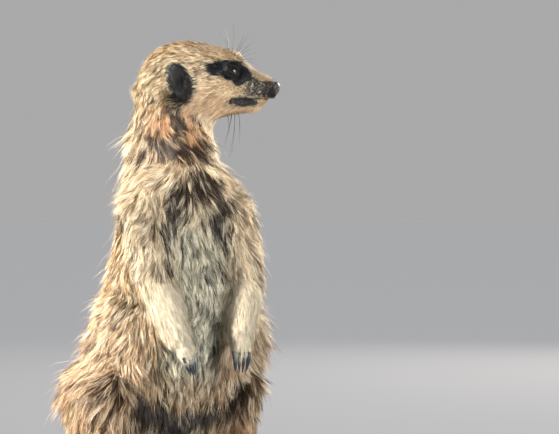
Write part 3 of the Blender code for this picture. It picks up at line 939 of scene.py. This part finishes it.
def eyeMaterial():
    settings = eyePiece
    material, tree, shader = newMaterial("eyeFinish")
    pupil, iris, rays = (
        put(tree, "ShaderNodeAttribute", attribute_name=n).outputs["Fac"] for n in ("pupil", "iris", "rays")
    )
    ring = mixColour(tree, rays, settings["iris"], settings["irisEdge"])
    colour = mixColour(tree, iris, settings["white"], ring)
    feed(tree, shader, {"Base Color": mixColour(tree, pupil, colour, settings["pupil"])})
    feed(tree, shader, settings["shine"])
    return material


eyeFinish = eyeMaterial()


def buildEye(side):
    settings = eyePiece
    rings, sides, irisReach = settings["rings"], settings["sides"], settings["irisReach"]
    gaze, long, high = eyeAxes(sideSigns[side])
    tilt, around = ballGrid(rings, sides, 0.002)
    angle = np.degrees(tilt)
    reach = facePiece["eyeRadius"] + settings["bulge"] * (1 - ramp(angle, 8, irisReach + 6))
    way = np.cos(around)[:, None] * long + np.sin(around)[:, None] * high
    way = np.cos(tilt)[:, None] * gaze + np.sin(tilt)[:, None] * way
    place = headPlace(eyeAt[side]) + way * reach[:, None]
    mesh = meshFrom("eye", fromHead(place), tubeFaces(rings, sides)[:, ::-1])
    wide, tall = settings["pupilReach"]
    oval = np.hypot(angle * np.cos(around) / wide, angle * np.sin(around) / tall)
    rays = (0.5 + 0.5 * np.sin(around * 41 + 3 * np.sin(around * 7))) * ramp(angle, 12, 30)
    setAttribute(mesh, "pupil", "FLOAT", 1 - ramp(oval, 0.92, 1.08))
    setAttribute(mesh, "iris", "FLOAT", 1 - ramp(angle, irisReach - 3, irisReach))
    setAttribute(mesh, "rays", "FLOAT", rays)
    return finishPiece(addObject("eye" + side.capitalize(), mesh), eyeFinish, "eye", "eye_" + side)


rimPiece = dict(
    turns=120,
    sides=14,
    radius=0.42,
    margin=0.1,               # beyond the opening's corners, in millimetres
    finish=dict(
        first=(0.006, 0.006, 0.007), second=(0.012, 0.010, 0.010), roughness=0.5, bumps=0.0001, shine=0.15,
    ),
)
rimFinish = glossyMaterial("rimFinish", **rimPiece["finish"])


def buildLidRim(side):
    # the bare moist edge of the lids, an almond-shaped ring that lies on the eyeball
    settings = rimPiece
    gaze, long, high = eyeAxes(sideSigns[side])
    turns, spin = turned(settings["turns"]), turned(settings["sides"])
    upper, lower = lidEdge(np.cos(turns))
    x = np.cos(turns) * (facePiece["halfWidth"] + settings["margin"])
    y = np.where(np.sin(turns) > 0, upper, lower)
    radius = facePiece["eyeRadius"]
    w = np.sqrt(np.maximum(radius**2 - x**2 - y**2, 1))
    way = unit(x[:, None] * long + y[:, None] * high + w[:, None] * gaze)
    for _ in range(3):
        way = unit(way + 0.25 * (np.roll(way, 1, 0) + np.roll(way, -1, 0) - 2 * way))
    ahead = unit(np.roll(way, -1, 0) - np.roll(way, 1, 0))
    across = np.cross(ahead, way)
    thick = settings["radius"] * (1 + 0.12 * np.sin(turns * 9) * bump(np.sin(turns), -1, 0.8))
    ring = (
        way[:, None] * (radius + 0.2 + 0.55 * np.cos(spin)[None, :, None] * thick[:, None, None])
        + across[:, None] * np.sin(spin)[None, :, None] * thick[:, None, None]
    )
    place = headPlace(eyeAt[side]) + ring.reshape(-1, 3)
    faces = tubeFaces(len(turns), len(spin), True)
    mesh = meshFrom("lidRim", fromHead(place), faces if sideSigns[side] > 0 else faces[:, ::-1])
    setAttribute(mesh, "shade", "FLOAT", np.zeros(len(place)))
    return finishPiece(addObject("lidRim" + side.capitalize(), mesh), rimFinish, "coat")


nosePiece = dict(
    rings=90,
    sides=140,
    size=(3.4, 4.2, 3.6),
    boxy=2.6,                 # 2 is round, and more is squarer
    nostril=(0.62, 0.66, -0.05),
    finish=dict(
        first=(0.022, 0.020, 0.022), second=(0.15, 0.06, 0.036), roughness=0.38, bumps=0.0002, grain=2600.0,
    ),
)


def buildNose():
    settings = nosePiece
    rings, sides, power = settings["rings"], settings["sides"], settings["boxy"]
    tilt, around = ballGrid(rings, sides, 0.01)
    way = np.stack([np.cos(tilt), np.sin(tilt) * np.cos(around), np.sin(tilt) * np.sin(around)], -1)
    forward, left, up = way.T
    wide = np.abs(left)
    boxy = 1 / (np.abs(forward) ** power + wide**power + np.abs(up) ** power) ** (1 / power)
    place = way * boxy[:, None] * settings["size"]
    below = ramp(-up, 0.1, 1.0)
    place[:, 1] *= 1 - 0.38 * below
    place[:, 2] -= 1.5 * below * ramp(forward, -0.4, 0.5)
    place[:, 0] -= 1.0 * below
    f, l, u = settings["nostril"]
    hole = bump(np.sqrt((forward - f) ** 2 + (wide - l) ** 2 + (up - u) ** 2), 0, 0.26)
    slit = bump(up, -0.12 - 0.35 * (wide - 0.75), 0.085)
    slit = slit * ramp(wide, 0.68, 0.8) * ramp(forward, -0.35, 0.1)
    cleft = bump(left, 0, 0.055) * ramp(-up, -0.15, 0.25) * ramp(forward, 0, 0.3)
    wing = bump(up, 0.22, 0.16) * bump(wide, 0.72, 0.2) * ramp(forward, 0.2, 0.5)
    place -= way * (1.7 * hole + 0.75 * slit + 0.45 * cleft - 0.35 * wing)[:, None]
    mesh = meshFrom("nose", fromHead(headPlace(noseAt) + place), tubeFaces(rings, sides)[:, ::-1])
    blush = ramp(-up, 0.25, 0.6) * 0.8 + 0.3 * wing
    setAttribute(mesh, "shade", "FLOAT", np.clip(blush - hole - slit, 0, 1))
    finish = glossyMaterial("noseFinish", **settings["finish"])
    return finishPiece(addObject("noseFine", mesh), finish, "nose", "nose")


def swept(line, across, over, radius, x, y):
    # rings of points along a line, from the outline of its section
    ring = across[:, None] * x[None, :, None] + over[:, None] * y[None, :, None]
    return (line[:, None] + ring * radius[:, None, None]).reshape(-1, 3)


clawPiece = dict(
    rings=22,
    sides=18,
    gather=0.38,              # how far a hand's claws close up towards each other
    finish=dict(
        first=(0.012, 0.019, 0.026), second=(0.045, 0.045, 0.042), roughness=0.32, bumps=0.00008,
    ),
)
clawFinish = glossyMaterial("clawFinish", **clawPiece["finish"])


def clawTip(node):
    raw = points(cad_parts[node].data)
    limb = nodeMiddle(node.split("_claw")[0])
    return raw[np.argmax(np.linalg.norm(raw - limb, axis=1))]


def offAxis(places, root, axis):
    return (places - root) - np.outer((places - root) @ axis, axis)


def buildClaw(node):
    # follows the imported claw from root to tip, round in section with a keel along the top
    settings = clawPiece
    raw = points(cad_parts[node].data)
    tip = clawTip(node)
    root = raw[np.argsort(np.linalg.norm(raw - tip, axis=1))[-8:]].mean(0)
    axis = unit(tip - root)
    reach = np.linalg.norm(tip - root)
    share = ((raw - root) @ axis) / reach
    middle = raw[(share > 0.25) & (share < 0.75)]
    sag = offAxis(middle, root, axis).mean(0) if len(middle) else np.zeros(3)
    at = np.linspace(-0.12, 1, settings["rings"])
    line = root + axis * (at * reach)[:, None] + sag * (1.2 * (4 * at * (1 - at)))[:, None]
    if node.startswith("hand"):
        group = [clawTip(n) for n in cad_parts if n.startswith(node[:-1])]
        closing = (np.mean(group, axis=0) - tip) * settings["gather"] * rng.uniform(0.6, 1.3)
        line += closing * (at.clip(0, 1) ** 1.5)[:, None]
    thick = np.linalg.norm(offAxis(raw[share < 0.2], root, axis), axis=1).mean()
    ahead = unit(np.gradient(line, axis=0))
    over = unit(sag) if np.linalg.norm(sag) > 1e-6 else upward
    across = unit(np.cross(ahead, over))
    over = np.cross(across, ahead)
    radius = thick * (1 - 0.25 * at.clip(0, 1) - 0.7 * at.clip(0, 1) ** 3)
    radius[-1] = thick * 0.02
    spin = turned(settings["sides"])
    keel = 1 + 0.22 * bump(np.sin(spin), 1, 0.35) - 0.12 * bump(np.sin(spin), -1, 0.5)
    co = swept(line, across, over, radius, np.cos(spin) * 0.86, np.sin(spin) * keel)
    mesh = meshFrom(node, co, tubeFaces(settings["rings"], settings["sides"]))
    setAttribute(mesh, "shade", "FLOAT", np.repeat(ramp(at, 0.55, 1.0), settings["sides"]))
    name = "claw" + "".join(part.capitalize() for part in node.replace("_claw", "").split("_"))
    return finishPiece(addObject(name, mesh), clawFinish, "claw", node)


# Whiskers on one side: forward, out and up of the root, the way it starts, length in millimetres
whiskerPiece = dict(
    rings=12,
    sides=6,
    radius=0.15,
    finish=dict(first=(0.015, 0.016, 0.015), second=(0.05, 0.055, 0.05), roughness=0.4),
    brow=(
        ((27, 9.5, 16.5), (0.02, 0.25, 1.0), 22), ((28.5, 8.5, 16.3), (0.22, 0.2, 1.0), 25),
        ((30, 10, 15.6), (0.5, 0.35, 0.9), 23), ((31, 8.5, 15.0), (0.8, 0.3, 0.75), 19),
        ((32.5, 9.5, 13.8), (0.9, 0.4, 0.45), 16), ((33, 8.0, 13.5), (1.0, 0.3, 0.2), 14),
    ),
    muzzle=(
        ((44, 6.5, -2.0), (0.2, 1.0, 0.1), 15), ((42.5, 7.4, -3.2), (-0.1, 1.0, -0.15), 18),
        ((44.5, 6.4, -4.2), (0.1, 1.0, -0.4), 15), ((41, 8.2, -1.6), (-0.35, 1.0, 0.1), 19),
        ((40, 8.6, -3.8), (-0.5, 1.0, -0.3), 20), ((42.5, 7.0, -5.2), (-0.1, 0.9, -0.7), 16),
        ((38.5, 9.2, -2.6), (-0.7, 1.0, -0.1), 18),
    ),
    chin=(
        ((30, 3.5, -15.5), (0.08, 0.1, -1.0), 20), ((28.5, 5.0, -15.2), (-0.1, 0.2, -1.0), 16),
        ((32, 4.5, -15.0), (0.3, 0.2, -1.0), 14), ((26, 3.0, -15.4), (0.25, 0.1, -1.0), 12),
    ),
)


def buildWhiskers():
    settings = whiskerPiece
    rings, sides = settings["rings"], settings["sides"]
    at = np.linspace(0, 1, rings)
    spin = turned(sides)
    radius = settings["radius"] * (1 - 0.85 * at)
    tubes = []
    for sign in sideSigns.values():
        mirror = np.array((1, sign, 1))
        for root, way, length in settings["brow"] + settings["muzzle"] + settings["chin"]:
            root, way = root * mirror, unit(way * mirror)
            length *= rng.uniform(0.88, 1.08)
            bend = np.array((-0.2, 0.1 * sign, -0.28)) * rng.uniform(0.5, 1.4)
            line = root - way * 1.5 + way * (at * length)[:, None] + bend * (at**2 * length)[:, None]
            ahead = unit(np.gradient(line, axis=0))
            across = unit(np.cross(ahead, (0.3, 0.2, 1.0)))
            over = np.cross(across, ahead)
            co = swept(line, across, over, radius, np.cos(spin), np.sin(spin))
            tubes.append((co, tubeFaces(rings, sides)))
    place, faces = joined(tubes)
    mesh = meshFrom("whiskers", fromHead(place), faces)
    setAttribute(mesh, "shade", "FLOAT", np.tile(np.repeat(at, sides), len(tubes)))
    finish = glossyMaterial("whiskerFinish", **settings["finish"])
    return finishPiece(addObject("whiskers", mesh), finish, "coat")


skin, shares = buildSkin()
print("skin", len(skin.data.vertices), "vertices,", len(triangles(skin.data)), "triangles")
fields = coatFields(skin.data, shares)
print("lie and markings of the coat are laid out")


def unwrapSkin():
    bpy.context.view_layer.objects.active = skin
    skin.select_set(True)
    skin.data.uv_layers.new(name="OFBake")
    bpy.ops.object.mode_set(mode="EDIT")
    bpy.ops.mesh.select_all(action="SELECT")
    bpy.ops.uv.smart_project(angle_limit=1.15, island_margin=0.004)
    bpy.ops.object.mode_set(mode="OBJECT")
    vertex = readAll(skin.data.loops, "vertex_index", 1, np.int32)[:, 0]
    uv = np.zeros((len(skin.data.vertices), 2))
    uv[vertex] = readAll(skin.data.uv_layers["OFBake"].data, "uv", 2)
    return uv


skinUV = unwrapSkin()
setAttribute(skin.data, "strand", "FLOAT_VECTOR", np.tile(skinPiece["strand"], (len(shares), 1)))
setAttribute(skin.data, "marks", "FLOAT_COLOR", fields["marks"])
finishPiece(skin, coatMaterial("skinFinish", False), "coat", *fleshNodes)

# the coat's pieces, which meet softly: how much of its hair each has at every point of the skin
part = partPicker(shares)
across, rear, height = (fields["co"] / mm).T
frontHalf, upperHalf, leftHalf = ramp(-rear, 22, 30), ramp(height, 112, 122), ramp(across, -4, 4)
faceHalf = ramp(headPlace(fields["co"])[:, 0], 11, 19)
headCoat = part("head", "ear")
upperTrunk, lowerTrunk = part("trunk") * upperHalf, part("trunk") * (1 - upperHalf)
rump = lowerTrunk * (1 - frontHalf)
coatPieces = dict(
    coatFace=headCoat * faceHalf,
    coatCrown=headCoat * (1 - faceHalf),
    coatNeck=part("neck"),
    coatChest=upperTrunk * frontHalf,
    coatBack=upperTrunk * (1 - frontHalf),
    coatBelly=lowerTrunk * frontHalf,
    coatRumpLeft=rump * leftHalf,
    coatRumpRight=rump * (1 - leftHalf),
    coatArms=part("upper_arm", "forearm"),
    coatPaws=part("hand", "foot"),
    coatHaunches=part("thigh"),
    coatShins=part("shin"),
    coatTail=part(*tailNodes),
)
hairFinish = coatMaterial("hairFinish", True)
hairTriangles = 0
for name, wanted in coatPieces.items():
    coat = growCoat(name, fields, wanted, skinUV)
    hairTriangles += len(coat.data.polygons)
    finishPiece(coat, hairFinish, "coat")
print("the coat has", hairTriangles, "triangles")

for side in sideSigns:
    buildEye(side)
    buildLidRim(side)
buildNose()
for node in sorted(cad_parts):
    if "_claw_" in node:
        buildClaw(node)
buildWhiskers()
print("eyes, nose, claws and whiskers are in")


viewPoint = dict(
    azimuth=-22.0,
    elevation=1.0,
    distance=1.28,
    lens=149.9,
    across=59 * mm,           # the aim, to the right of the seat as the camera sees it
    behind=-30 * mm,
    height=148 * mm,
)


def buildCamera():
    settings = viewPoint
    turn, lift = math.radians(settings["azimuth"]), math.radians(settings["elevation"])
    right = np.array((math.cos(turn), math.sin(turn), 0))
    aim = right * settings["across"] + np.array((0, settings["behind"], settings["height"]))
    back = np.array((math.sin(turn) * math.cos(lift), -math.cos(turn) * math.cos(lift), math.sin(lift)))
    data = bpy.data.cameras.new("camera")
    data.lens = settings["lens"]
    data.sensor_width = 36
    data.clip_start = 0.05
    data.dof.use_dof = False
    camera = addObject("camera", data)
    camera.location = aim + back * settings["distance"]
    camera.rotation_euler = (math.radians(90) - lift, 0, turn)
    bpy.context.scene.camera = camera


lightPlan = dict(
    key=dict(kind="SUN", place=(-1.05, 0.0, 0.85), size=0.08, power=14.0, tint=(1.0, 0.93, 0.83)),
    fill=dict(kind="AREA", place=(0.6, -1.5, 0.36), size=0.5, power=14.0, tint=(0.97, 0.99, 1.0)),
    rim=dict(kind="AREA", place=(0.95, 0.75, 0.55), size=0.4, power=8.0, tint=(1.0, 0.86, 0.70)),
    # light thrown back up at the throat
    bounce=dict(
        kind="AREA", place=(0.3, -0.42, 0.06), height=0.222,
        size=0.1, spread=24, power=0.06, tint=(1.0, 0.70, 0.42),
    ),
)


def buildLights():
    for name, plan in lightPlan.items():
        data = bpy.data.lights.new(name, plan["kind"])
        if plan["kind"] == "SUN":
            data.angle = plan["size"]
        else:
            data.shape = "DISK"
            data.size = plan["size"]
            data.spread = math.radians(plan.get("spread", 120))
        data.energy = plan["power"]
        data.color = plan["tint"]
        lamp = addObject(name, data)
        lamp.location = plan["place"]
        way = np.array((0, -0.03, plan.get("height", 0.13))) - plan["place"]
        lamp.rotation_euler = Vector(way).to_track_quat("-Z", "Y").to_euler()


skyPiece = dict(
    horizon=(0.40, 0.40, 0.40),
    overhead=(0.24, 0.26, 0.28),
    rise=(0.12, 0.45),        # heights between which one turns into the other
    toning="Standard",        # keeps the coat's golds from washing out
)


def buildSky():
    settings = skyPiece
    world = bpy.data.worlds.new("studio")
    bpy.context.scene.world = world
    bpy.context.scene.view_settings.view_transform = settings["toning"]
    world.use_nodes = True
    tree = world.node_tree
    way = put(tree, "ShaderNodeTexCoord").outputs["Generated"]
    height = put(tree, "ShaderNodeSeparateXYZ", {0: way}).outputs["Z"]
    overhead = ramped(tree, maths(tree, "ABSOLUTE", height), *settings["rise"])
    sky = mixColour(tree, overhead, settings["horizon"], settings["overhead"])
    feed(tree, tree.nodes["Background"], {"Color": sky})


floorPiece = dict(
    radius=8.0,
    finish={"Base Color": (0.1435, 0.1537, 0.1728), "Roughness": 0.9, "Specular IOR Level": 0.0},
)


def buildFloor():
    bm = bmesh.new()
    bmesh.ops.create_circle(bm, cap_ends=True, segments=96, radius=floorPiece["radius"])
    mesh = bpy.data.meshes.new("floor")
    bm.to_mesh(mesh)
    bm.free()
    material, tree, shader = newMaterial("paleFloor")
    feed(tree, shader, floorPiece["finish"])
    mesh.materials.append(material)
    addObject("floor", mesh)


buildCamera()
buildLights()
buildSky()
buildFloor()
print("camera, lights and floor are set")
